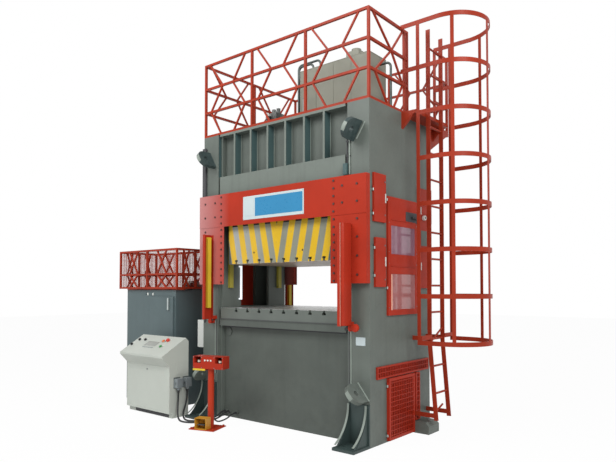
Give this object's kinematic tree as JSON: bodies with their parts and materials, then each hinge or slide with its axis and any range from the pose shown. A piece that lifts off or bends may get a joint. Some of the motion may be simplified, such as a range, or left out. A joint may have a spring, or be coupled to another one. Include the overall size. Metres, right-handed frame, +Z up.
{
  "type": "hydraulic press",
  "caption": "Straight-sided hydraulic press with slotted bolster and slide, red guards, crown railing, caged ladder, power unit, control desk and two-hand pedestal",
  "frame": {"origin": "on the floor, below the middle of the front face of the press body", "axes": "+X to the operator's right, +Y back through the press, +Z up"},
  "size_m": [5.389, 2.5316, 4.6439],
  "materials": {
    "body_paint": "semi-gloss green-grey enamel",
    "guard_paint": "glossy red enamel",
    "ram_paint": "light grey enamel with yellow chevrons",
    "ground_steel": "ground steel",
    "chrome_rod": "hard chrome",
    "cast_metal": "cast iron",
    "yellow_paint": "yellow enamel",
    "yellow_guide": "olive yellow paint",
    "dark_trim": "dark plastic",
    "bolt_steel": "zinc plated steel",
    "blank_plate": "bare white plate",
    "white_paint": "white enamel",
    "lamp_glass": "frosted tube",
    "pane_glass": "smoked pane",
    "unit_paint": "blue-grey enamel",
    "desk_paint": "light grey enamel",
    "button_red": "gloss plastic",
    "button_orange": "gloss plastic",
    "button_green": "gloss plastic",
    "knob_black": "matte plastic",
    "cable_black": "black sheath",
    "palm_button": "gloss plastic",
    "tank_paint": "grey-green enamel"
  },
  "bodies": {
    "frame": {"upright_left": "body_paint", "upright_right": "body_paint", "crown": "body_paint", "bed": "body_paint", "bolster_plate": "ram_paint", "cylinder_barrels": "cast_metal", "gib_rails": "yellow_guide", "anchor_feet": "body_paint", "rear_feet": "body_paint", "lifting_lugs": "body_paint", "cable_trunking": "dark_trim", "junction_box": "white_paint", "work_lamps": "lamp_glass", "blank_plates": "blank_plate", "guard_end_plates": "guard_paint", "guard_channels": "guard_paint", "light_curtains": "yellow_paint", "guard_bolts": "bolt_steel", "guard_headers": "guard_paint", "railing_ends": "guard_paint", "railing_sides": "guard_paint", "ladder": "guard_paint", "ladder_cage": "guard_paint", "landing_platform": "guard_paint", "top_tank": "tank_paint", "tank_breather": "tank_paint", "valve_block": "cast_metal", "hydraulic_pipes": "ground_steel", "mesh_strip": "guard_paint", "door_hinges": "dark_trim", "power_cabinet": "unit_paint", "unit_guard": "guard_paint", "power_unit": "cast_metal", "desk_housing": "desk_paint", "desk_connectors": "dark_trim", "desk_cables": "cable_black", "pedestal_stand": "guard_paint", "pedestal_head": "guard_paint", "foot_pedal_housing": "yellow_paint", "pedestal_cable": "cable_black"},
    "slide": {"ram_slide": "ram_paint", "ram_rods": "chrome_rod"},
    "upper_cover_leaf": {"upper_cover": "guard_paint"},
    "lower_cover_leaf": {"lower_cover": "guard_paint"},
    "window_door_leaf": {"window_door": "guard_paint", "window_panes": "pane_glass"},
    "window_lever": {"window_handle": "knob_black"},
    "rear_door_leaf": {"rear_door": "guard_paint"},
    "mesh_door_leaf": {"mesh_door": "guard_paint"},
    "cabinet_door_leaf": {"cabinet_door": "unit_paint"},
    "cabinet_lever": {"cabinet_handle": "knob_black"},
    "stop_button": {"desk_estop": "button_red"},
    "orange_button": {"desk_push_orange": "button_orange"},
    "green_button": {"desk_push_green": "button_green"},
    "left_knob": {"desk_knob_left": "knob_black"},
    "middle_knob": {"desk_knob_middle": "knob_black"},
    "right_knob": {"desk_knob_right": "knob_black"},
    "left_palm": {"palm_button_left": "palm_button"},
    "right_palm": {"palm_button_right": "palm_button"},
    "treadle": {"foot_treadle": "dark_trim"}
  },
  "joints": [
    {"name": "slide_stroke", "type": "slide", "parent": "frame", "child": "slide", "axis": [0, 0, -1], "range_m": [0, 0.5]},
    {"name": "upper_cover_hinge", "type": "hinge", "parent": "frame", "child": "upper_cover_leaf", "pos_m": [1.328, 0.043, 2.6], "axis": [0, 0, -1], "range_deg": [0, 110]},
    {"name": "lower_cover_hinge", "type": "hinge", "parent": "frame", "child": "lower_cover_leaf", "pos_m": [1.328, 0.067, 1.9], "axis": [0, 0, -1], "range_deg": [0, 110]},
    {"name": "window_door_hinge", "type": "hinge", "parent": "frame", "child": "window_door_leaf", "pos_m": [1.328, 0.318, 2], "axis": [0, 0, -1], "range_deg": [0, 10]},
    {"name": "window_lever_turn", "type": "hinge", "parent": "window_door_leaf", "child": "window_lever", "pos_m": [1.3415, 0.915, 2.4565], "axis": [1, 0, 0], "range_deg": [0, 90]},
    {"name": "rear_door_hinge", "type": "hinge", "parent": "frame", "child": "rear_door_leaf", "pos_m": [1.328, 1.023, 2.2], "axis": [0, 0, -1], "range_deg": [0, 50]},
    {"name": "mesh_door_hinge", "type": "hinge", "parent": "frame", "child": "mesh_door_leaf", "pos_m": [1.328, 0.312, 0.35], "axis": [0, 0, -1], "range_deg": [0, 100]},
    {"name": "cabinet_door_hinge", "type": "hinge", "parent": "frame", "child": "cabinet_door_leaf", "pos_m": [-2.479, -0.018, 0.8], "axis": [0, 0, -1], "range_deg": [0, 15]},
    {"name": "cabinet_lever_turn", "type": "hinge", "parent": "cabinet_door_leaf", "child": "cabinet_lever", "pos_m": [-2.018, -0.025, 1.483], "axis": [0, 1, 0], "range_deg": [0, 90]},
    {"name": "stop_press", "type": "slide", "parent": "frame", "child": "stop_button", "axis": [0, 0.4939, -0.8695], "range_m": [0, 0.006], "stiffness_N_per_m": 900, "springref_m": -0.004},
    {"name": "orange_press", "type": "slide", "parent": "frame", "child": "orange_button", "axis": [0, 0.4939, -0.8695], "range_m": [0, 0.006], "stiffness_N_per_m": 900, "springref_m": -0.004},
    {"name": "green_press", "type": "slide", "parent": "frame", "child": "green_button", "axis": [0, 0.4939, -0.8695], "range_m": [0, 0.006], "stiffness_N_per_m": 900, "springref_m": -0.004},
    {"name": "left_knob_turn", "type": "hinge", "parent": "frame", "child": "left_knob", "pos_m": [-2.264, -0.4511, 0.88243], "axis": [0, -0.4939, 0.8695], "range_deg": [-45, 45]},
    {"name": "middle_knob_turn", "type": "hinge", "parent": "frame", "child": "middle_knob", "pos_m": [-2.228, -0.34937, 0.94022], "axis": [0, -0.4939, 0.8695], "range_deg": [-45, 45]},
    {"name": "right_knob_turn", "type": "hinge", "parent": "frame", "child": "right_knob", "pos_m": [-2.103, -0.34241, 0.94417], "axis": [0, -0.4939, 0.8695], "range_deg": [-45, 45]},
    {"name": "left_palm_press", "type": "slide", "parent": "frame", "child": "left_palm", "axis": [0, 0, -1], "range_m": [0, 0.006], "stiffness_N_per_m": 900, "springref_m": -0.004},
    {"name": "right_palm_press", "type": "slide", "parent": "frame", "child": "right_palm", "axis": [0, 0, -1], "range_m": [0, 0.006], "stiffness_N_per_m": 900, "springref_m": -0.004},
    {"name": "treadle_press", "type": "hinge", "parent": "frame", "child": "treadle", "pos_m": [-0.65896, -0.52926, 0.052], "axis": [0.9511, 0.309, 0], "range_deg": [0, 8], "stiffness_Nm_per_rad": 6, "springref_deg": -14.32}
  ]
}
